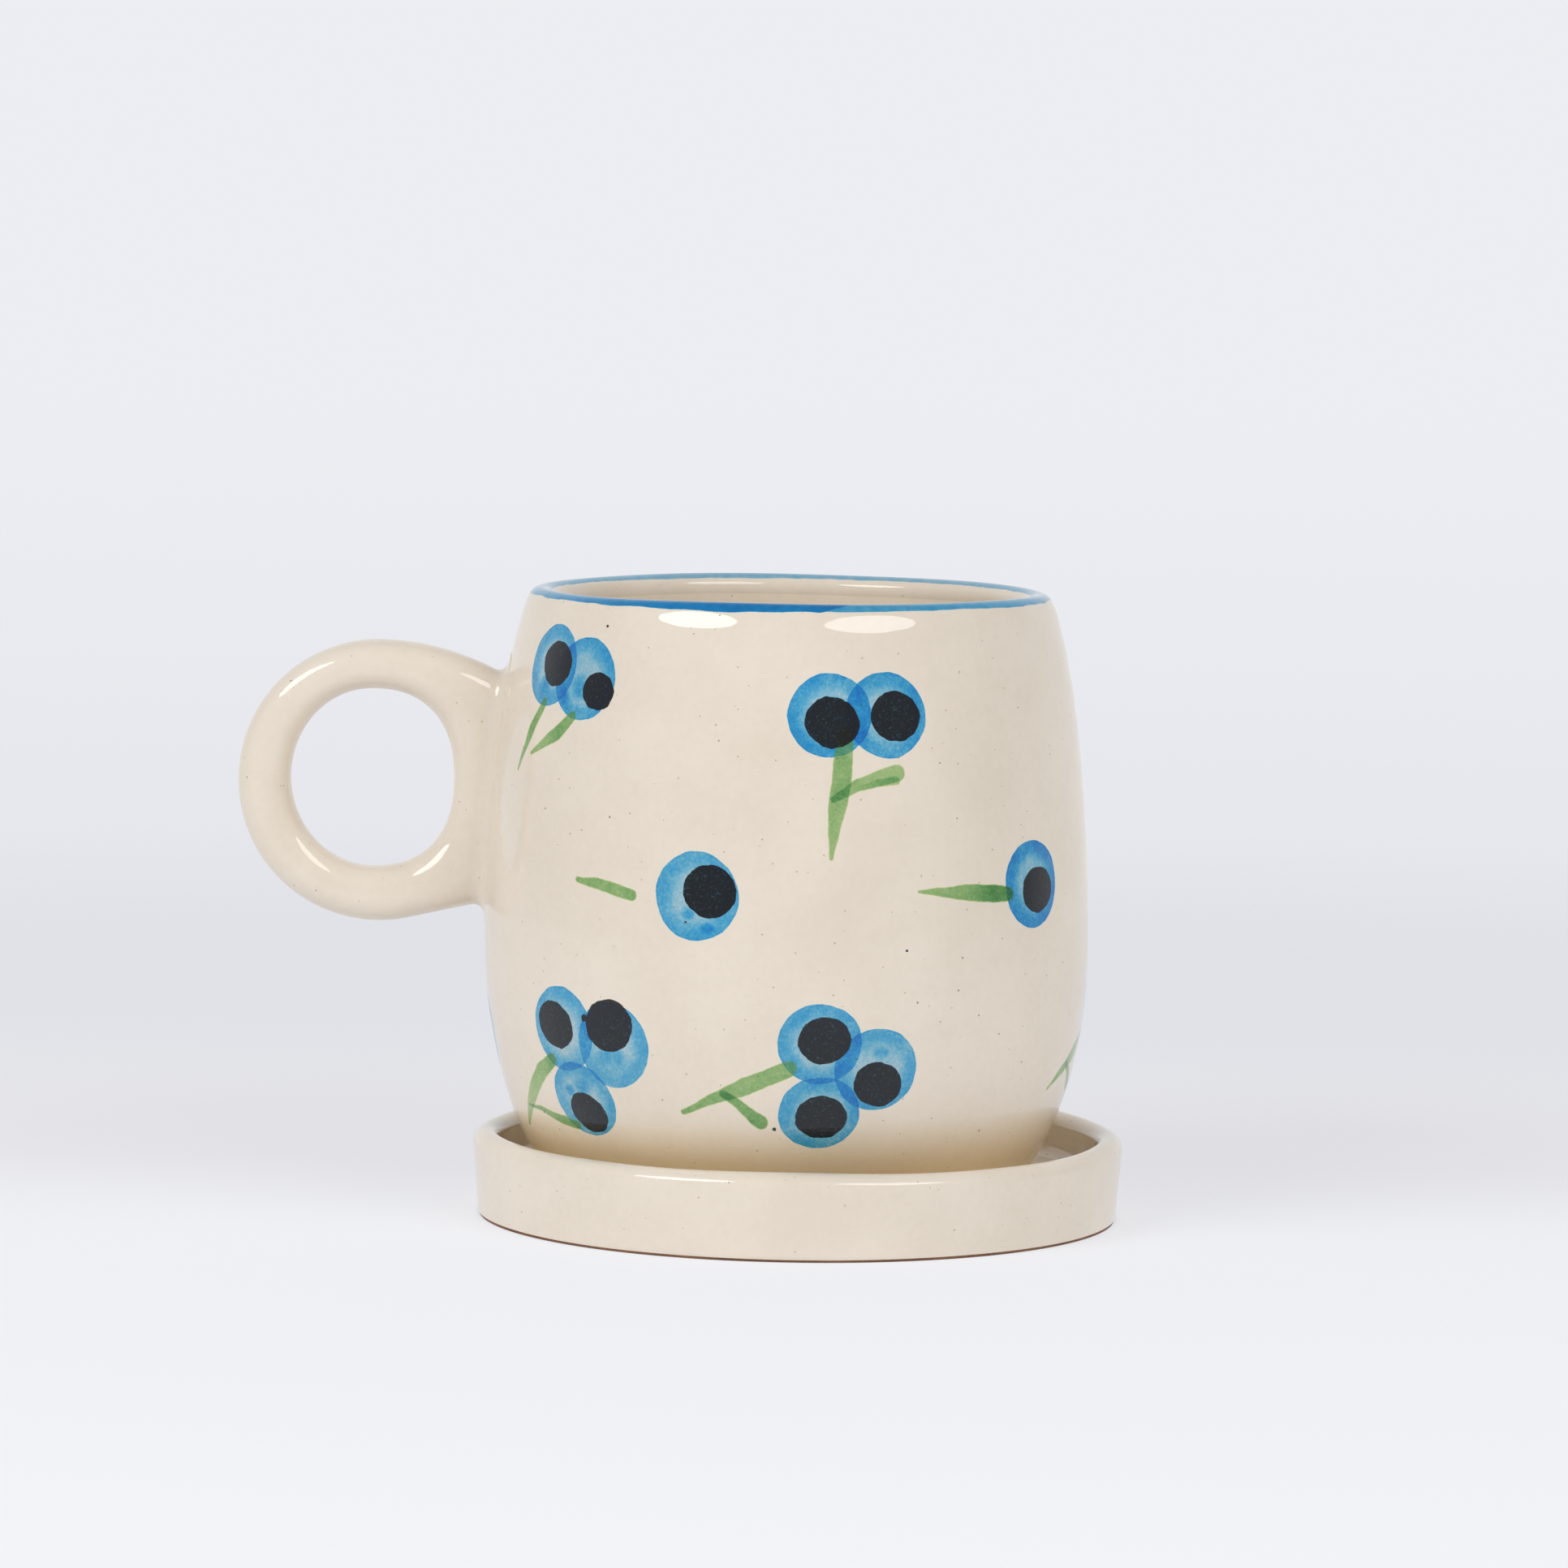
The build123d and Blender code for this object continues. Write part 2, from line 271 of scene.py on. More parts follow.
# ---- Nodes ----
class Graph:
    """Adds nodes to a material, and gives back what comes out of them."""

    def __init__(self, tree):
        self.tree = tree

    def node(self, kind, settings=None, **inputs):
        made = self.tree.nodes.new(kind)
        for name, value in (settings or {}).items():
            setattr(made, name, value)
        for name, value in inputs.items():
            self.feed(made.inputs[name.replace("_", " ")], value)
        return made

    def feed(self, socket, value):
        if isinstance(value, bpy.types.NodeSocket):
            self.tree.links.new(value, socket)
        elif value is not None:
            socket.default_value = value

    def math(self, operation, *values, clamp=False):
        made = self.tree.nodes.new("ShaderNodeMath")
        made.operation = operation
        made.use_clamp = clamp
        for socket, value in zip(made.inputs, values):
            self.feed(socket, value)
        return made.outputs[0]

    def vector(self, operation, *values, out="Vector"):
        made = self.tree.nodes.new("ShaderNodeVectorMath")
        made.operation = operation
        sockets = [s for s in made.inputs if s.name == "Vector"]
        for socket, value in zip(sockets, values):
            self.feed(socket, value)
        return made.outputs[out]

    def scaled(self, vector, factor):
        made = self.tree.nodes.new("ShaderNodeVectorMath")
        made.operation = "SCALE"
        self.feed(made.inputs[0], vector)
        self.feed(made.inputs["Scale"], factor)
        return made.outputs["Vector"]

    def ramp(self, value, low, high, to_low=0.0, to_high=1.0, smooth=True):
        """value from low..high to to_low..to_high, held at both ends."""
        made = self.tree.nodes.new("ShaderNodeMapRange")
        made.interpolation_type = "SMOOTHSTEP" if smooth else "LINEAR"
        for name, item in (
            ("Value", value),
            ("From Min", low),
            ("From Max", high),
            ("To Min", to_low),
            ("To Max", to_high),
        ):
            self.feed(made.inputs[name], item)
        return made.outputs["Result"]

    def noise(self, place, size, detail=2.0, roughness=0.5, out="Fac"):
        """Soft noise with features about size millimetres across."""
        made = self.tree.nodes.new("ShaderNodeTexNoise")
        self.feed(made.inputs["Vector"], place)
        made.inputs["Scale"].default_value = 1 / size
        made.inputs["Detail"].default_value = detail
        made.inputs["Roughness"].default_value = roughness
        return made.outputs[out]

    def mix(self, share, first, second, blend="MIX"):
        made = self.tree.nodes.new("ShaderNodeMix")
        made.data_type = "RGBA"
        made.blend_type = blend
        self.feed(made.inputs[0], share)
        self.feed(made.inputs[6], first)
        self.feed(made.inputs[7], second)
        return made.outputs[2]


def linear(red, green, blue):
    """A colour given as display values from 0 to 255, as light."""
    values = [c / 255 for c in (red, green, blue)]
    return tuple(c / 12.92 if c <= 0.04045 else ((c + 0.055) / 1.055) ** 2.4 for c in values)


CREAM = linear(230, 219, 203)
# Painted light: the inside is the same glaze, drawn lighter to stand in for the light that reaches the inner
# wall.
INNER_CREAM_PAINTED_LIGHT = linear(243, 232, 215)
CLAY = linear(126, 88, 62)

# What one coat of each paint absorbs, and how that grows as it thickens.
BLUE_COAT = (2.35, 0.70, 0.07), (1.0, 0.75, 1.1)
RIM_COAT = (2.75, 0.84, 0.13), (0.95, 0.62, 1.1)
GREEN_COAT = (1.22, 0.58, 1.42), (1.0, 0.95, 0.7)
BLACK_COAT = (4.7, 4.15, 3.85), (1.0, 1.0, 1.0)


def new_material(name):
    """A new material, its graph and its shader."""
    material = bpy.data.materials.new(name)
    material.use_nodes = True
    graph = Graph(material.node_tree)
    shader = next(n for n in material.node_tree.nodes if n.type == "BSDF_PRINCIPLED")
    return material, graph, shader


def millimetres(graph, foot):
    """Places on the piece, in millimetres from foot."""
    place = graph.node("ShaderNodeTexCoord").outputs["Object"]
    return graph.scaled(graph.vector("SUBTRACT", place, tuple(foot)), 1 / MM)


def around(graph, place):
    """place's three parts, its azimuth in degrees and its distance from the axis."""
    parts = graph.node("ShaderNodeSeparateXYZ", Vector=place).outputs
    forwards = graph.math("MULTIPLY", parts[1], -1.0)
    azimuth = graph.math("DEGREES", graph.math("ARCTAN2", parts[0], forwards))
    radius = graph.vector("LENGTH", graph.vector("MULTIPLY", place, (1, 1, 0)), out="Value")
    return parts, azimuth, radius


def speckled(graph, place, colour, dark_share):
    """Iron specks in the glaze: many fine pale brown ones, some darker, and a few black dots."""
    for size, radius, tone, share in (
        (1.7, 0.17, linear(186, 156, 134), 0.7),
        (3.1, 0.18, linear(124, 92, 76), 0.8),
        (9.0, 0.3, linear(52, 44, 42), dark_share),
    ):
        cells = graph.node("ShaderNodeTexVoronoi", {"voronoi_dimensions": "3D"}, Vector=place)
        cells.inputs["Scale"].default_value = 1 / size
        chance = graph.node("ShaderNodeSeparateColor", Color=cells.outputs["Color"]).outputs[0]
        reach = graph.math("MULTIPLY", chance, radius / size)
        inside = graph.math("LESS_THAN", cells.outputs["Distance"], reach)
        colour = graph.mix(graph.math("MULTIPLY", inside, share), colour, (*tone, 1))
    return colour


def honeyed_and_shaded(graph, place, colour):
    """colour with a warmer, browner tone just above the mug's foot: partly the glaze running thin there,
    partly painted shade and warm light bounced from the saucer.
    """
    height = graph.node("ShaderNodeSeparateXYZ", Vector=place).outputs[2]
    # Painted shade and bounce light: darker and warmer towards the foot, where the saucer shades it.
    share = graph.ramp(height, 3.0, 15.0, 1.0, 0.0)
    return graph.mix(share, colour, (1.03, 0.89, 0.6, 1), "MULTIPLY")


def glazed(graph, place, dark_share=0.9, cream=CREAM):
    """Cream glaze: softly clouded, with iron specks."""
    cloud = graph.noise(place, 14.0, 3.0)
    fine = graph.noise(place, 1.1, 2.0)
    pale = tuple(min(1.0, c * 1.03) for c in cream)
    deep = tuple(c * f for c, f in zip(cream, (0.955, 0.945, 0.925)))
    share = graph.math("ADD", graph.math("MULTIPLY", cloud, 0.8), graph.math("MULTIPLY", fine, 0.3))
    colour = graph.mix(graph.ramp(share, 0.3, 0.8), (*pale, 1), (*deep, 1))
    return speckled(graph, place, colour, dark_share)


def relief(graph, shader, height, strength, depth):
    """Fine relief in the surface: height from 0 to 1 stands for depth in millimetres."""
    made = graph.node("ShaderNodeBump", Height=height)
    made.inputs["Strength"].default_value = strength
    made.inputs["Distance"].default_value = depth * MM
    graph.feed(shader.inputs["Normal"], made.outputs["Normal"])


def glossy(graph, shader, place):
    """The glaze's gloss: a hard wet shine over a surface that is a little uneven."""
    shader.inputs["Roughness"].default_value = 0.04
    shader.inputs["IOR"].default_value = 1.5
    swell = graph.noise(place, 5.0, 1.0)
    peel = graph.noise(place, 1.2, 1.0)
    relief(graph, shader, graph.math("MULTIPLY_ADD", peel, 0.12, swell), 0.5, 0.03)


# ---- The painted sprigs, as in the CAD ----
# A dot is (azimuth, height, half width, half height, tilt in degrees towards +X). A stroke is a list
# of (azimuth, height, width, paint). berries, pools and crowns are dots; pools are where the blue
# gathered. middle is a sprig's own azimuth. It was painted once at every (turn, lift) from there, with a
# brush that carried its load of blue.
SPRIGS = {
    "left_pair": {
        "turns": ((0, 0), (220, 0)),
        "middle": -51,
        "load": 1.3,
        "berries": [(-56.6, 75.9, 5.7, 5.85, -13), (-45.7, 74.5, 5.9, 6.1, -53)],
        "pools": [(-57.7, 73.0, 1.5, 1.3, 0), (-46.6, 73.1, 1.3, 1.7, 0), (-50.6, 71.6, 0.8, 1.0, 0)],
        "crowns": [(-54.9, 76.2, 3.2, 3.55, -71), (-41.2, 72.9, 2.7, 3.0, -73)],
        "strokes": [
            [(-57.1, 70.7, 1.3, 1.2), (-60.5, 66.7, 1.6, 1.1), (-64.9, 60.6, 0.5, 0.9)],
            [(-47.6, 69.0, 1.6, 1.2), (-51.5, 66.5, 2.2, 1.1), (-59.8, 63.2, 0.6, 0.9)],
        ],
    },
    "right_pair": {
        "turns": ((0, 0), (105, 0), (215, 0)),
        "middle": 13,
        "load": 1.36,
        "berries": [(7.8, 70.8, 5.87, 6.0, 45), (19.0, 70.8, 5.9, 6.05, -44)],
        "pools": [],
        "crowns": [(8.2, 69.8, 3.55, 3.85, -69), (20.9, 70.6, 3.5, 3.7, -77)],
        "strokes": [
            [(10.7, 68.0, 2.3, 1.0), (9.9, 61.5, 2.75, 0.95), (9.1, 58.0, 2.6, 0.9), (8.0, 50.9, 0.6, 0.7)],
            [(8.5, 59.2, 1.0, 0.9), (12.7, 61.0, 1.7, 0.85), (18.0, 62.2, 2.4, 0.75), (20.6, 62.8, 2.5, 0.7)],
            [(12.9, 60.6, 0.7, 0.1), (16.5, 61.3, 1.1, 0.5), (20.4, 61.7, 1.3, 0.6)],
        ],
    },
    "left_single": {
        "turns": ((0, 0), (138, 0)),
        "middle": -25,
        "load": 1.1,
        "berries": [(-16.8, 45.3, 5.97, 6.23, -17)],
        "pools": [(-18.3, 42.9, 0.9, 0.7, 0), (-14.5, 40.8, 0.9, 0.6, 0)],
        "crowns": [(-14.3, 46.0, 3.67, 3.88, -66)],
        "strokes": [
            [(-42.4, 46.4, 0.8, 1.1), (-37.5, 46.1, 1.5, 0.9), (-33, 45.4, 1.8, 1), (-29.8, 44.9, 1.6, 1.15)],
        ],
    },
    "right_single": {
        "turns": ((0, 0), (138, 0)),
        "middle": 43,
        "load": 2.1,
        "berries": [(52.9, 46.1, 6.1, 6.28, -9)],
        "pools": [],
        "crowns": [(54.5, 45.2, 3.3, 3.65, 81)],
        "strokes": [
            [
                (24.9, 46.0, 0.4, 0.9),
                (29.0, 46.0, 1.2, 0.9),
                (37.0, 45.6, 2.45, 1.05),
                (42.0, 45.2, 2.4, 1.8),
                (45.6, 45.0, 2.0, 1.9),
            ],
        ],
    },
    "left_triple": {
        "turns": ((0, 0), (-53.3, -2), (-115, 0)),
        "middle": -46,
        "load": 1.02,
        "berries": [
            (-47.0, 24.8, 6.0, 6.15, 0),
            (-34.5, 23.3, 6.0, 6.2, 24),
            (-43.6, 14.9, 5.28, 6.05, -63),
        ],
        "pools": [(-35.4, 21.4, 2.2, 1.3, 0), (-43.4, 16.6, 1.5, 1.0, 0), (-47.0, 15.9, 0.9, 0.8, 0)],
        "crowns": [
            (-48.9, 25.3, 3.32, 3.78, -60),
            (-35.0, 26.1, 3.75, 4.1, 71),
            (-42.8, 13.0, 2.83, 3.62, -65),
            (-40.7, 26.9, 0.5, 0.55, 0),
        ],
        "strokes": [
            [
                (-51.2, 20.0, 2.0, 1.2),
                (-55.5, 18.0, 2.4, 0.95),
                (-60.0, 15.2, 2.4, 0.75),
                (-64.3, 12.2, 1.7, 0.6),
                (-68.4, 9.2, 0.5, 0.9),
            ],
            [(-64.5, 12.4, 0.4, 1), (-59.2, 12.2, 0.8, 1), (-50.6, 11.2, 1.5, 1.2), (-46.8, 10.8, 1.3, 1.5)],
        ],
    },
    "right_triple": {
        "turns": ((0, 0), (84.5, 1.5), (148, 0)),
        "middle": 3,
        "load": 1.16,
        "berries": [
            (6.5, 24.9, 5.8, 5.9, -80),
            (17.6, 21.1, 5.92, 6.04, -83),
            (6.9, 14.9, 5.4, 5.78, 82),
        ],
        "pools": [(18.3, 23.6, 1.0, 0.5, 0)],
        "crowns": [
            (7.4, 25.4, 3.4, 3.74, -89),
            (18.1, 19.0, 3.22, 3.6, -69),
            (7.3, 14.3, 3.23, 3.68, -89),
        ],
        "strokes": [
            [(0.7, 21.2, 2.4, 0.95), (-7.2, 18.7, 2.6, 0.95), (-13.6, 16.7, 1.7, 1), (-20, 14.4, 0.8, 1.1)],
            [(-11.8, 17.4, 1.3, 1.1), (-8.8, 16.1, 1.4, 1.15), (-5.7, 14.1, 1.9, 1.4), (-4.4, 13.5, 2, 1.15)],
        ],
    },
}

# How the edges of the paint wander: (size, reach) of each drift.
BRUSHED_EDGE = ((6.0, 0.3), (1.4, 0.12))
CROWN_EDGE = ((1.6, 0.24), (0.6, 0.05))
BAND_EDGE = ((3.5, 0.12), (0.8, 0.04))

# Iron spots that burnt through the glaze: (azimuth, height, radius).
SPOTS = [(-41.3, 82.0, 0.18), (-1.8, 12.5, 0.22), (22.6, 37.9, 0.14), (-18.8, 41.6, 0.14)]


def dot(graph, place, azimuth, height, half_width, half_height, tilt):
    """How far out place is in an oval painted on the wall: least at its middle, 1 at its edge."""
    long_half, short_half = max(half_width, half_height), min(half_width, half_height)
    along = tilt if half_height >= half_width else tilt + 90
    reach = math.sqrt(long_half**2 - short_half**2)
    aside = math.degrees(reach * math.sin(math.radians(along)) / float(wall_radius(height)))
    above = reach * math.cos(math.radians(along))
    ends = [on_wall(azimuth + s * aside, height + s * above) for s in (-1, 1)]
    paths = [graph.vector("DISTANCE", place, end, out="Value") for end in ends]
    return graph.math("DIVIDE", graph.math("ADD", *paths), 2 * long_half)


def berry_coat(graph, place, berry, load):
    """How much blue one dab of a loaded brush leaves: little in its middle, most near its edge."""
    out = dot(graph, place, *berry)
    body = graph.ramp(out, 0.5, 0.88, 0.42 * load**0.5, 0.95 * load)
    edge = graph.ramp(out, 0.95, 0.985, 0.0, 0.2)
    inside = graph.ramp(out, 0.985, 1.01, 1.0, 0.0)
    return graph.math("MULTIPLY", graph.math("ADD", body, edge), inside)


def pool_coat(graph, place, pool):
    """How much more blue lies where it gathered."""
    return graph.ramp(dot(graph, place, *pool), 0.2, 1.5, 1.25, 0.0)


def crown_coat(graph, place, crown):
    """How much black lies in a crown: an even coat with a sharp edge."""
    return graph.ramp(dot(graph, place, *crown), 0.975, 1.01, 1.0, 0.0)


def stroke(graph, place, points):
    """How much green a brush stroke leaves at place."""
    laid = None
    for start, end in zip(points, points[1:]):
        first = Vector(on_wall(*start[:2]))
        run = Vector(on_wall(*end[:2])) - first
        away = graph.vector("SUBTRACT", place, tuple(first))
        share = graph.vector("DOT_PRODUCT", away, tuple(run / run.length_squared), out="Value")
        share = graph.math("ADD", share, 0.0, clamp=True)
        foot = graph.scaled(tuple(run), share)
        gap = graph.vector("DISTANCE", away, foot, out="Value")
        half = graph.math("MULTIPLY_ADD", share, (end[2] - start[2]) / 2, start[2] / 2)
        cover = graph.ramp(graph.math("SUBTRACT", gap, half), -0.16, 0.1, 1.0, 0.0)
        paint = graph.math("MULTIPLY_ADD", share, end[3] - start[3], start[3])
        coat = graph.math("MULTIPLY", cover, paint)
        laid = coat if laid is None else graph.math("MAXIMUM", laid, coat)
    return laid


def sprig_place(graph, azimuth, radius, height, middle, turns):
    """Places seen from the sprig's nearest turn, so that each sprig is painted once for all its turns."""
    nearest = lifted = None
    for turn, lift in turns:
        gap = graph.math("WRAP", graph.math("SUBTRACT", azimuth, middle + turn), 180.0, -180.0)
        if nearest is None:
            nearest, lifted = gap, float(lift)
        else:
            closer = graph.math(
                "LESS_THAN", graph.math("ABSOLUTE", gap), graph.math("ABSOLUTE", nearest)
            )
            change = graph.math("MULTIPLY", closer, graph.math("SUBTRACT", gap, nearest))
            nearest = graph.math("ADD", nearest, change)
            change = graph.math("MULTIPLY", closer, graph.math("SUBTRACT", float(lift), lifted))
            lifted = graph.math("ADD", lifted, change)
    height = graph.math("SUBTRACT", height, lifted)
    turned = graph.math("RADIANS", graph.math("ADD", nearest, float(middle)))
    x = graph.math("MULTIPLY", radius, graph.math("SINE", turned))
    y = graph.math("MULTIPLY", radius, graph.math("MULTIPLY", graph.math("COSINE", turned), -1.0))
    made = graph.node("ShaderNodeCombineXYZ")
    for socket, value in zip(made.inputs, (x, y, height)):
        graph.feed(socket, value)
    return made.outputs[0]


def bulge_at(graph, aside, radius, height):
    """How far the wall stands out there, so that the paint can be laid on the true wall."""
    side = graph.math("MULTIPLY_ADD", graph.math("DIVIDE", aside, radius), 0.5, 0.5)
    away = graph.math("DIVIDE", graph.math("SUBTRACT", height, BULGE_HEIGHT), BULGE_REACH)
    fall = graph.math("EXPONENT", graph.math("MULTIPLY", graph.math("POWER", away, 2.0), -1.0))
    most = graph.math("MULTIPLY", fall, BULGE)
    return graph.math("MULTIPLY", graph.math("MULTIPLY", side, side), most)


def shaken(graph, place, drifts):
    """place moved about by noise: each drift is (size, reach) in millimetres."""
    for size, reach in drifts:
        drift = graph.noise(place, size, 1.0, out="Color")
        drift = graph.vector("SUBTRACT", drift, (0.5, 0.5, 0.5))
        place = graph.vector("ADD", place, graph.scaled(drift, 2 * reach))
    return place


def total(graph, values):
    """The sum of some values."""
    whole = values[0]
    for value in values[1:]:
        whole = graph.math("ADD", whole, value)
    return whole


def settled(graph, place):
    """How much of the blue and of the green settled at place as the paint dried: about 1, unevenly."""
    grain = graph.noise(place, 0.42, 3.0, 0.65)
    blotch = graph.noise(place, 1.7, 3.0, 0.6)
    broad = graph.noise(place, 4.5, 1.0)
    wash = graph.math("MULTIPLY_ADD", grain, 1.3, graph.math("MULTIPLY_ADD", blotch, 0.9, -0.35))
    wash = graph.math("MULTIPLY_ADD", broad, 0.7, wash)
    return [graph.ramp(wash, 0.75, 1.45, *ends, smooth=False) for ends in ((0.58, 1.45), (0.72, 1.28))]


def painted(graph, place):
    """How much blue, green and black pigment lies on the outer wall at place."""
    loose = shaken(graph, place, BRUSHED_EDGE)
    tight = shaken(graph, place, CROWN_EDGE)
    uneven, mild = settled(graph, place)
    blue, green, black = [], [], []
    frames = {}
    for key, source in (("loose", loose), ("tight", tight)):
        parts, azimuth, radius = around(graph, source)
        radius = graph.math("SUBTRACT", radius, bulge_at(graph, parts[0], radius, parts[2]))
        frames[key] = (azimuth, radius, parts[2])
    for sprig in SPRIGS.values():
        soft = sprig_place(graph, *frames["loose"], sprig["middle"], sprig["turns"])
        crisp = sprig_place(graph, *frames["tight"], sprig["middle"], sprig["turns"])
        blue += [berry_coat(graph, soft, berry, sprig["load"]) for berry in sprig["berries"]]
        blue += [pool_coat(graph, soft, pool) for pool in sprig["pools"]]
        black += [crown_coat(graph, crisp, crown) for crown in sprig["crowns"]]
        green += [stroke(graph, soft, points) for points in sprig["strokes"]]
    for azimuth, height, radius in SPOTS:
        out = graph.vector("DISTANCE", tight, on_wall(azimuth, height), out="Value")
        black.append(graph.ramp(out, radius - 0.05, radius + 0.12, 0.8, 0.0))
    blue = graph.math("MULTIPLY", total(graph, blue), uneven)
    green = graph.math("MULTIPLY", total(graph, green), mild)
    # The green hides some of the blue that it crosses.
    shown = graph.math("MULTIPLY_ADD", graph.math("MINIMUM", green, 1.0), -0.6, 1.0)
    blue = graph.math("MULTIPLY", blue, shown)
    black = graph.math("MINIMUM", total(graph, black), 1.0)
    # The black is thin in small flecks.
    fleck = graph.ramp(graph.noise(place, 0.4, 3.0, 0.75), 0.5, 0.7, 1.1, 0.5)
    black = graph.math("MULTIPLY", black, fleck)
    return blue, green, black


def rim_coat(graph, place):
    """How much blue lies on the lip, from a brush held to the turning mug, which overlaps itself; less at the
    back, partly as painted reflection.
    """
    place = shaken(graph, place, BAND_EDGE)
    parts, azimuth, radius = around(graph, place)
    height = parts[2]
    above = graph.math("SUBTRACT", height, MUG_HEIGHT - 0.9)
    start = graph.math("MULTIPLY_ADD", above, 5.6, 8.4)  # the azimuth where the brush came down
    past = graph.math("WRAP", graph.math("SUBTRACT", start, azimuth), 360.0, 0.0)  # degrees from it
    thick = graph.ramp(past, *BAND_OVERLAP, 1.0, 0.0)
    fresh = graph.math("MULTIPLY", thick, graph.ramp(past, 0.0, 1.2))
    droop = graph.noise(place, 7.0, 1.5)
    outer_edge = graph.math("MULTIPLY_ADD", droop, -BAND_DROOP, MUG_HEIGHT - BAND_OUTSIDE)
    outer_edge = graph.math("MULTIPLY_ADD", fresh, -0.2, outer_edge)
    inner_edge = MUG_HEIGHT - BAND_INSIDE
    outside = graph.ramp(radius, LIP_CREST - 0.3, LIP_CREST + 0.3)
    inside = graph.math("SUBTRACT", 1.0, outside)
    edge = graph.math(
        "ADD",
        graph.math("MULTIPLY", outside, outer_edge),
        graph.math("MULTIPLY", inside, inner_edge),
    )
    cover = graph.ramp(graph.math("SUBTRACT", height, edge), -0.04, 0.1)
    streak = graph.ramp(graph.noise(place, 1.3, 3.0, 0.6), 0.3, 0.75, 0.85, 1.2)
    # Partly a thinner first coat at the back, partly painted reflection: the back of the lip is drawn paler,
    # as if it showed the bright room.
    first = graph.ramp(parts[1], 0.0, 30.0, 1.0, 0.48)  # the first coat, thinner at the back
    coat = graph.math("MULTIPLY", graph.math("MULTIPLY_ADD", fresh, 1.3, first), streak)
    return graph.math("MULTIPLY", cover, coat)


def washed(graph, colour, coats):
    """colour seen through coats of paint: each has its amount, what one coat absorbs of red, green and
    blue light, and how fast that grows with the amount."""
    depth = None
    for amount, strength, growth in coats:
        made = graph.node("ShaderNodeCombineXYZ")
        for socket, most, power in zip(made.inputs, strength, growth):
            grown = graph.math("POWER", graph.math("MAXIMUM", amount, 0.0), power)
            graph.feed(socket, graph.math("MULTIPLY", grown, most))
        coat = made.outputs[0]
        depth = coat if depth is None else graph.vector("ADD", depth, coat)
    parts = graph.node("ShaderNodeSeparateXYZ", Vector=depth).outputs
    through = graph.node("ShaderNodeCombineXYZ")
    for socket, part in zip(through.inputs, parts):
        graph.feed(socket, graph.math("EXPONENT", graph.math("MULTIPLY", part, -1.0)))
    return graph.vector("MULTIPLY", colour, through.outputs[0])


def painted_glaze():
    """The mug's outside: cream glaze over blue berries, black crowns, green stems and a blue lip."""
    material, graph, shader = new_material("painted_glaze")
    place = millimetres(graph, MUG_FOOT)
    # The tone near the foot carries painted shade and warm bounce light as well as the glaze's own colour.
    colour = honeyed_and_shaded(graph, place, glazed(graph, place))
    blue, green, black = painted(graph, place)
    rim = rim_coat(graph, place)
    coats = ((blue, *BLUE_COAT), (rim, *RIM_COAT), (green, *GREEN_COAT), (black, *BLACK_COAT))
    colour = washed(graph, colour, coats)
    graph.feed(shader.inputs["Base Color"], colour)
    glossy(graph, shader, place)
    return material


def plain_glaze(name, foot, dark_share=0.9, cream=CREAM):
    """Cream glaze with no paint."""
    material, graph, shader = new_material(name)
    place = millimetres(graph, foot)
    graph.feed(shader.inputs["Base Color"], glazed(graph, place, dark_share, cream))
    glossy(graph, shader, place)
    return material


def bare_clay(name, foot):
    """Unglazed fired clay: dull, brown and grainy."""
    material, graph, shader = new_material(name)
    place = millimetres(graph, foot)
    grain = graph.noise(place, 0.4, 3.0, 0.7)
    patch = graph.noise(place, 6.0, 2.0)
    light, dark = (tuple(c * f for c in CLAY) for f in (1.35, 0.55))
    share = graph.math("MULTIPLY_ADD", patch, 0.5, graph.math("MULTIPLY", grain, 0.6))
    colour = graph.mix(graph.ramp(share, 0.3, 0.8), (*dark, 1), (*light, 1))
    graph.feed(shader.inputs["Base Color"], colour)
    shader.inputs["Roughness"].default_value = 0.85
    relief(graph, shader, grain, 0.6, 0.06)
    return material


# ---- Mug body ----
def waves(azimuth, *parts):
    """The sum of some waves round the axis, each (size, how many in a turn, phase)."""
    return sum(size * np.cos(count * azimuth + phase) for size, count, phase in parts)


def thrown(radius, height, azimuth):
    """The small unevenness of a wall thrown by hand: faint rings, and a mouth not quite round.

    What is taken off the waves keeps the piece within its true size.
    """
    rise = np.clip((height - 10) / (MUG_HEIGHT - 20), 0, 1)
    inside = radius < wall_radius(height) - 2
    rings = np.sin(height * 1.15 + 0.6 * np.sin(azimuth + 0.4)) * np.where(inside, 0.1, 0.03)
    oval = waves(azimuth, (0.1, 2, 0.7), (0.05, 3, -1.1))
    lip = np.clip((height - 70) / 16, 0, 1)
    dip = waves(azimuth, (0.1, 2, -0.5), (0.06, 5, 1.3)) - 0.16
    still = (height > FOOT_ROUND) & (height < MUG_HEIGHT - 1)
    low = np.clip(height / 6, 0, 1) * np.exp(-(((height - BULGE_HEIGHT) / BULGE_REACH) ** 2))
    bulge = BULGE * low * ((1 + np.sin(azimuth)) / 2) ** 2
    radius = radius + rise * (oval - 0.12) + np.where(still, rings * rise, 0) + bulge
    return radius, height + lip * dip


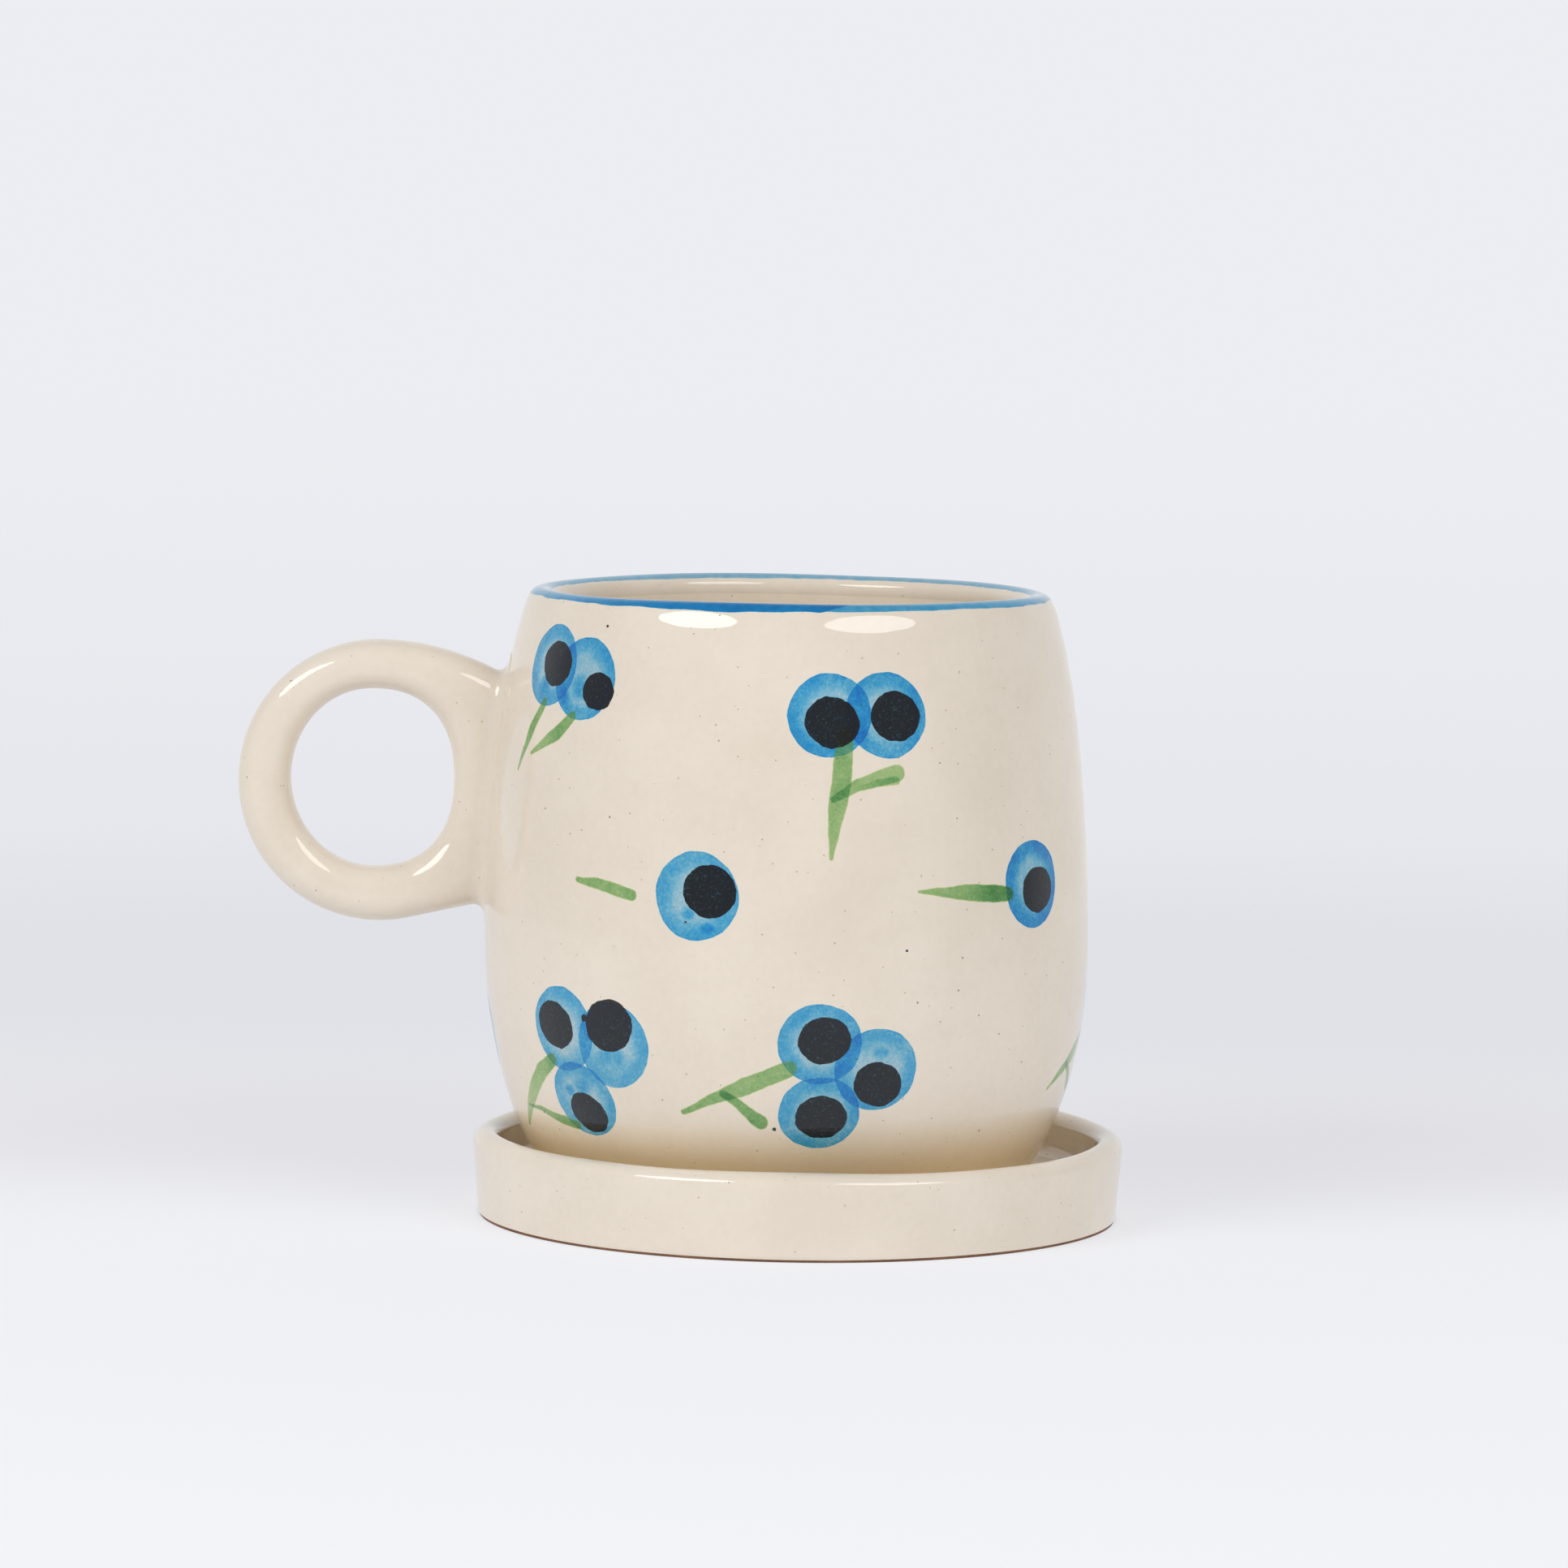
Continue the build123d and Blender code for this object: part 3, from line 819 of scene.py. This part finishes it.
def make_mug_body():
    """The mug's wall, floor and foot, with the paint and the blue band on them."""
    land = FOOT_RADIUS - FOOT_LAND
    recess = land - FOOT_RECESS
    line, ends = joined(
        straight((0, FLOOR_HEIGHT), (FLOOR_FLAT, FLOOR_HEIGHT), 2.0),
        smooth_line(INNER_WALL, (1, 0), leaning(INNER_LEAN), 0.8),
        arc((LIP_CREST, MUG_HEIGHT - LIP_INSIDE), LIP_INSIDE, 180 + INNER_LEAN, 90, 18),
        arc((LIP_CREST, MUG_HEIGHT - LIP_OUTSIDE), LIP_OUTSIDE, 90, LIP_LEAN, 12),
        OUTER_LINE[::-1],
        arc((FOOT_RADIUS - FOOT_ROUND, FOOT_ROUND), FOOT_ROUND, 0, -90, 5),
        straight((FOOT_RADIUS - FOOT_ROUND, 0), (land, 0), 0.8),
        straight((land, 0), (recess, FOOT_RECESS), 0.4),
        straight((recess, FOOT_RECESS), (0, FOOT_RECESS), 2.0),
    )
    # Glaze inside up to the lip, painted glaze down to the foot, bare clay under it, glaze in its recess.
    zones = [ends[1], ends[4], ends[7], ends[8]]
    # The inner glaze is drawn lighter than the outside, as painted light on the inner wall.
    inner = plain_glaze("inner_glaze", MUG_FOOT, 0.4, INNER_CREAM_PAINTED_LIGHT)
    clay = bare_clay("mug_foot_clay", MUG_FOOT)
    under = plain_glaze("mug_under_glaze", MUG_FOOT)
    materials = [inner, painted_glaze(), clay, under]
    piece = lathe("mug_body_glazed", line, MUG_FOOT, thrown, zones, materials)
    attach(piece, "mug")
    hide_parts("mug_body", "rim_band", "berry_paint", "crown_paint", "stem_paint")


# ---- Handle ----
def smooth_min(first, second, reach):
    """The lesser of two distances, rounded where they are within reach of each other."""
    near = np.maximum(reach - np.abs(first - second), 0) / reach
    return np.minimum(first, second) - near**2 * reach / 4


def ring_gap(points):
    """Distance outside the handle's ring, negative inside it."""
    x, y, z = points[..., 0], points[..., 1], points[..., 2]
    away = np.stack([x - RING_CENTRE[0], z - RING_CENTRE[1]], axis=-1)
    top, below = math.radians(90 - RING_TOP_START), math.radians(RING_FOOT_SLOPE - 90)
    angle = np.arctan2(away[..., 1], away[..., 0])
    facing_wall = (angle < top) & (angle > below)
    upwards, downwards = (np.array([math.cos(t), math.sin(t)]) for t in (top, below))
    from_arc = np.linalg.norm(away - upwards * (RING_RADIUS - RING_TOP_RADIUS), axis=-1)
    towards_wall = np.maximum(from_arc - RING_TOP_RADIUS, away @ downwards - RING_RADIUS)
    outline = np.where(facing_wall, towards_wall, np.linalg.norm(away, axis=-1) - RING_RADIUS)
    across, up = (np.abs(v - c) for v, c in zip((x, z), HOLE_CENTRE))
    power = np.where(x > HOLE_CENTRE[0], HOLE_POWER, 2.0)
    scaled = ((across / HOLE_HALF[0]) ** power + (up / HOLE_HALF[1]) ** power) ** (1 / power)
    scaled = np.maximum(scaled, 0.05)
    steep = np.hypot(
        across ** (power - 1) / HOLE_HALF[0] ** power, up ** (power - 1) / HOLE_HALF[1] ** power
    )
    hole = (scaled - 1) * scaled ** (power - 1) / np.maximum(steep, 1e-3)
    flat = np.maximum(outline, -hole)
    half_width = np.clip((hole - outline) / 2, 1.0, RING_CROWN)
    aside = np.maximum(1 + flat / half_width, 0)
    deep = np.abs(y) / (RING_DEPTH / 2)
    section = (aside**SECTION_POWER + deep**SECTION_POWER) ** (1 / SECTION_POWER)
    return (section - 1) * np.minimum(half_width, RING_DEPTH / 2)


def wall_gap(points):
    """Distance outside the mug's outer wall, negative inside it."""
    radius = np.hypot(points[..., 0], points[..., 1])
    height = points[..., 2]
    slope = wall_radius(height + 0.5) - wall_radius(height - 0.5)  # over one millimetre
    return (radius - wall_radius(height)) / np.hypot(1, slope)


def handle_gap(points):
    """Distance outside the handle with its root: a ring that flares into the wall and ends in it."""
    ring = ring_gap(points)
    wall = wall_gap(points)
    flared = smooth_min(ring, wall + ROOT_CLEAR, ROOT_BLEND)
    return np.maximum(np.maximum(flared, ring - ROOT_LIMIT), -(wall + ROOT_SUNK))


def surface_net(gap, low, high, step):
    """A closed mesh on the surface where gap is zero, in the box from low to high."""
    counts = np.ceil((np.array(high) - low) / step).astype(int) + 1
    axes = [low[i] + step * np.arange(counts[i]) for i in range(3)]
    grid = np.stack(np.meshgrid(*axes, indexing="ij"), axis=-1)
    value = gap(grid)
    inside = value < 0
    cells = tuple(counts - 1)
    sums = np.zeros((*cells, 3))
    hits = np.zeros(cells)
    crossings = []
    for axis in range(3):
        here = [slice(None)] * 3
        there = [slice(None)] * 3
        here[axis], there[axis] = slice(0, -1), slice(1, None)
        a, b = value[tuple(here)], value[tuple(there)]
        crossed = inside[tuple(here)] != inside[tuple(there)]
        share = np.where(crossed, a / np.where(crossed, a - b, 1), 0)
        place = grid[tuple(here)].copy()
        place[..., axis] += share * step
        crossings.append((axis, crossed, inside[tuple(here)]))
        others = [i for i in range(3) if i != axis]
        for i in (0, 1):
            for j in (0, 1):
                edge = [slice(None)] * 3
                edge[others[0]] = slice(i, i + cells[others[0]])
                edge[others[1]] = slice(j, j + cells[others[1]])
                found = crossed[tuple(edge)]
                sums += np.where(found[..., None], place[tuple(edge)], 0)
                hits += found
    used = hits > 0
    number = np.full(cells, -1)
    number[used] = np.arange(used.sum())
    points = sums[used] / hits[used][:, None]
    faces = []
    for axis, crossed, starts_inside in crossings:
        others = [i for i in range(3) if i != axis]
        for spot in np.argwhere(crossed):
            if min(spot[others[0]], spot[others[1]]) < 1:
                continue
            corner = []
            for i, j in ((-1, -1), (0, -1), (0, 0), (-1, 0)):
                cell = spot.copy()
                cell[others[0]] += i
                cell[others[1]] += j
                corner.append(int(number[tuple(cell)]))
            flip = starts_inside[tuple(spot)] == (axis == 1)
            faces.append(tuple(corner[::-1] if flip else corner))
    return points, faces


def drawn_onto(gap, points, rounds=6, reach=0.01, leap=0.2):
    """points moved along the slope of gap, by leaps of some length at most, until it is zero there."""
    for _ in range(rounds):
        value = gap(points)
        rises = [gap(points + offset) - gap(points - offset) for offset in np.eye(3) * reach]
        slope = np.stack(rises, axis=-1) / (2 * reach)
        steep = np.maximum((slope**2).sum(axis=-1), 0.25)
        points = points - slope * np.clip(value / steep, -leap, leap)[:, None]
    return points


def make_handle():
    """The ring handle with the slip that joins it to the wall."""
    start = RING_CENTRE[0] - RING_RADIUS - NET_MARGIN
    bottom = RING_CENTRE[1] - RING_RADIUS - NET_ROOM
    top = RING_CENTRE[1] + RING_RADIUS + NET_ROOM
    low = np.array((start, -NET_HALF_DEPTH, bottom))
    high = np.array((NET_END, NET_HALF_DEPTH, top))
    points, faces = surface_net(handle_gap, low, high, NET_STEP)
    points = drawn_onto(handle_gap, points)
    glaze = plain_glaze("handle_glaze", MUG_FOOT)
    piece = mesh_piece("handle_glazed", points, faces, MUG_FOOT, [glaze])
    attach(piece, "mug")
    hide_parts("handle", "handle_slip")


# ---- Saucer ----
def pressed(radius, height, azimuth):
    """The saucer's unevenness: its lip rises and falls a little, and its wall is not quite round."""
    lift = np.clip((height - SAUCER_FLOOR - 2) / (SAUCER_HEIGHT - SAUCER_FLOOR - 2), 0, 1)
    sway = waves(azimuth, (0.16, 2, 0.9), (0.1, 5, 0), (0.05, 9, 0)) - 0.31
    out = np.clip((radius - 40) / 5, 0, 1) * np.clip(height / SAUCER_BEVEL, 0, 1)
    swell = waves(azimuth, (0.1, 3, 0.3), (0.06, 8, -0.8)) - 0.17
    return radius + out * swell, height + lift * sway


def make_saucer():
    """The saucer: glazed down to its foot, bare clay from there on."""
    well = SAUCER_RADIUS - SAUCER_WALL
    lip = SAUCER_WALL / 2
    recess = SAUCER_FOOT_RADIUS - SAUCER_LAND
    line, ends = joined(
        straight((0, SAUCER_FLOOR), (well - SAUCER_CORNER, SAUCER_FLOOR), 1.5),
        arc((well - SAUCER_CORNER, SAUCER_FLOOR + SAUCER_CORNER), SAUCER_CORNER, -90, 0, 10),
        straight((well, SAUCER_FLOOR + SAUCER_CORNER), (well, SAUCER_HEIGHT - lip), 0.6),
        arc((SAUCER_RADIUS - lip, SAUCER_HEIGHT - lip), lip, 180, 0, 24),
        straight(
            (SAUCER_RADIUS, SAUCER_HEIGHT - lip),
            (SAUCER_FOOT_RADIUS + SAUCER_BEVEL, SAUCER_BEVEL),
            0.6,
        ),
        straight(
            (SAUCER_FOOT_RADIUS + SAUCER_BEVEL, SAUCER_BEVEL), (SAUCER_FOOT_RADIUS, 0), 0.25
        ),
        straight((SAUCER_FOOT_RADIUS, 0), (recess, 0), 1.0),
        straight((recess, 0), (recess - SAUCER_RECESS, SAUCER_RECESS), 0.4),
        straight((recess - SAUCER_RECESS, SAUCER_RECESS), (0, SAUCER_RECESS), 2.0),
    )
    glaze = plain_glaze("saucer_glaze", SAUCER_FOOT, 1.0)
    clay = bare_clay("saucer_foot_clay", SAUCER_FOOT)
    zones = [ends[4], ends[8]]
    piece = lathe("saucer_glazed", line, SAUCER_FOOT, pressed, zones, [glaze, clay])
    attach(piece, "saucer")
    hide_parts("saucer")


# ---- Floor, light and camera ----
FLOOR_RADIUS = 900.0
FLOOR_FADE = (260.0, 620.0)  # distances between which the floor fades into the background
FLOOR_GLOW = 0.6             # share of the floor's light that is its own, which keeps shadows faint
CAMERA_PLACE = (-2.75, -1000.0, 151.9)
CAMERA_PITCH = -5.09         # degrees up from level
CAMERA_ROLL = 0.85
CAMERA_LENS = 158.7

# Oval lamps: name, azimuth, degrees up, distance from the mug, width and height, radiance.
LAMPS = (
    ("left_lamp", -45, 35, 1400, (820, 450), 7.6),
    ("right_lamp", 38, 35, 1400, (930, 450), 5.0),
)


def make_floor():
    """A pale floor round the object that fades into the background, with painted shade that darkens it
    further back.
    """
    count = 96
    turn = np.linspace(0, 2 * math.pi, count, endpoint=False)
    ring = np.stack([np.sin(turn), -np.cos(turn), np.zeros(count)], axis=-1) * FLOOR_RADIUS
    material, graph, shader = new_material("floor")
    place = millimetres(graph, SAUCER_FOOT)
    flat = graph.vector("MULTIPLY", place, (1, 1, 0))
    away = graph.vector("LENGTH", flat, out="Value")
    along = graph.node("ShaderNodeSeparateXYZ", Vector=place).outputs[1]
    # Painted shade: the floor is drawn darker further behind the object, as light falls off towards the back.
    near, far = linear(248, 249, 253), linear(241, 241, 246)
    glow = graph.node("ShaderNodeEmission")
    shade = graph.mix(graph.ramp(along, -30.0, 60.0), (*near, 1), (*far, 1))
    shade = graph.mix(graph.ramp(along, 90.0, 240.0), shade, (*linear(238, 239, 244), 1))
    graph.feed(glow.inputs["Color"], shade)
    paint = graph.mix(1.0, shade, (0.95, 0.95, 0.95, 1), "MULTIPLY")
    graph.feed(shader.inputs["Base Color"], paint)
    shader.inputs["Roughness"].default_value = 0.9
    shader.inputs["Specular IOR Level"].default_value = 0.1
    half_lit = graph.node("ShaderNodeMixShader")
    half_lit.inputs[0].default_value = FLOOR_GLOW
    graph.feed(half_lit.inputs[1], shader.outputs[0])
    graph.feed(half_lit.inputs[2], glow.outputs[0])
    clear = graph.node("ShaderNodeBsdfTransparent")
    blend = graph.node("ShaderNodeMixShader")
    graph.feed(blend.inputs[0], graph.ramp(away, *FLOOR_FADE))
    graph.feed(blend.inputs[1], half_lit.outputs[0])
    graph.feed(blend.inputs[2], clear.outputs[0])
    out = next(n for n in material.node_tree.nodes if n.type == "OUTPUT_MATERIAL")
    graph.feed(out.inputs["Surface"], blend.outputs[0])
    floor = mesh_piece("floor", ring, [tuple(range(count))], SAUCER_FOOT, [material])


def make_world():
    """A pale studio: an even backdrop for the camera, and dimmer walls and ceiling as light."""
    world = bpy.data.worlds.new("studio")
    bpy.context.scene.world = world
    world.use_nodes = True
    graph = Graph(world.node_tree)
    background = next(n for n in world.node_tree.nodes if n.type == "BACKGROUND")
    seen = graph.node("ShaderNodeBackground")
    direction = graph.node("ShaderNodeTexCoord").outputs["Generated"]
    parts = graph.node("ShaderNodeSeparateXYZ", Vector=direction).outputs
    ahead, rise = parts[1], parts[2]
    wall, top = linear(229, 230, 235), linear(236, 237, 242)
    backdrop = graph.mix(graph.ramp(rise, -0.12, -0.03), (*wall, 1), (*top, 1))
    seen.inputs["Strength"].default_value = 1.0
    graph.feed(seen.inputs["Color"], backdrop)
    sides = graph.mix(graph.ramp(ahead, 0.1, 0.8), (0.52, 0.52, 0.53, 1), (0.85, 0.85, 0.86, 1))
    lit = graph.mix(graph.ramp(rise, 0.5, 0.95), sides, (0.32, 0.32, 0.33, 1))
    graph.feed(background.inputs["Color"], lit)
    background.inputs["Strength"].default_value = 1.0
    choice = graph.node("ShaderNodeMixShader")
    graph.feed(choice.inputs[0], graph.node("ShaderNodeLightPath").outputs["Is Camera Ray"])
    graph.feed(choice.inputs[1], background.outputs[0])
    graph.feed(choice.inputs[2], seen.outputs[0])
    out = next(n for n in world.node_tree.nodes if n.type == "OUTPUT_WORLD")
    graph.feed(out.inputs["Surface"], choice.outputs[0])


def make_lamp(name, azimuth, rise, away, size, radiance):
    """An oval soft lamp that faces the mug, azimuth degrees from the front and rise degrees up."""
    lamp = bpy.data.lights.new(name, "AREA")
    lamp.shape = "ELLIPSE"
    lamp.size, lamp.size_y = (length * MM for length in size)
    area = math.pi * lamp.size * lamp.size_y / 4
    lamp.energy = radiance * math.pi * area
    holder = bpy.data.objects.new(name, lamp)
    bpy.context.scene.collection.objects.link(holder)
    out = Vector(
        (
            math.sin(math.radians(azimuth)) * math.cos(math.radians(rise)),
            -math.cos(math.radians(azimuth)) * math.cos(math.radians(rise)),
            math.sin(math.radians(rise)),
        )
    )
    middle = MUG_FOOT + Vector((0, 0, MUG_HEIGHT / 2 * MM))
    holder.location = middle + out * away * MM
    holder.rotation_euler = out.to_track_quat("Z", "Y").to_euler()
    holder.visible_camera = False


def make_camera():
    """A long lens a metre in front of the mug, looking slightly down."""
    camera = bpy.data.cameras.new("camera")
    camera.lens = CAMERA_LENS
    camera.sensor_width = 36.0
    camera.clip_start = 0.01
    camera.clip_end = 20.0
    holder = bpy.data.objects.new("camera", camera)
    bpy.context.scene.collection.objects.link(holder)
    tilt = Matrix.Rotation(math.radians(90 + CAMERA_PITCH), 4, "X")
    roll = Matrix.Rotation(math.radians(CAMERA_ROLL), 4, "Z")
    holder.matrix_world = Matrix.Translation(Vector(CAMERA_PLACE) * MM) @ tilt @ roll
    bpy.context.scene.camera = holder


make_mug_body()
make_handle()
make_saucer()
make_floor()
make_world()
for lamp_values in LAMPS:
    make_lamp(*lamp_values)
make_camera()
bpy.context.scene.view_settings.view_transform = "Standard"
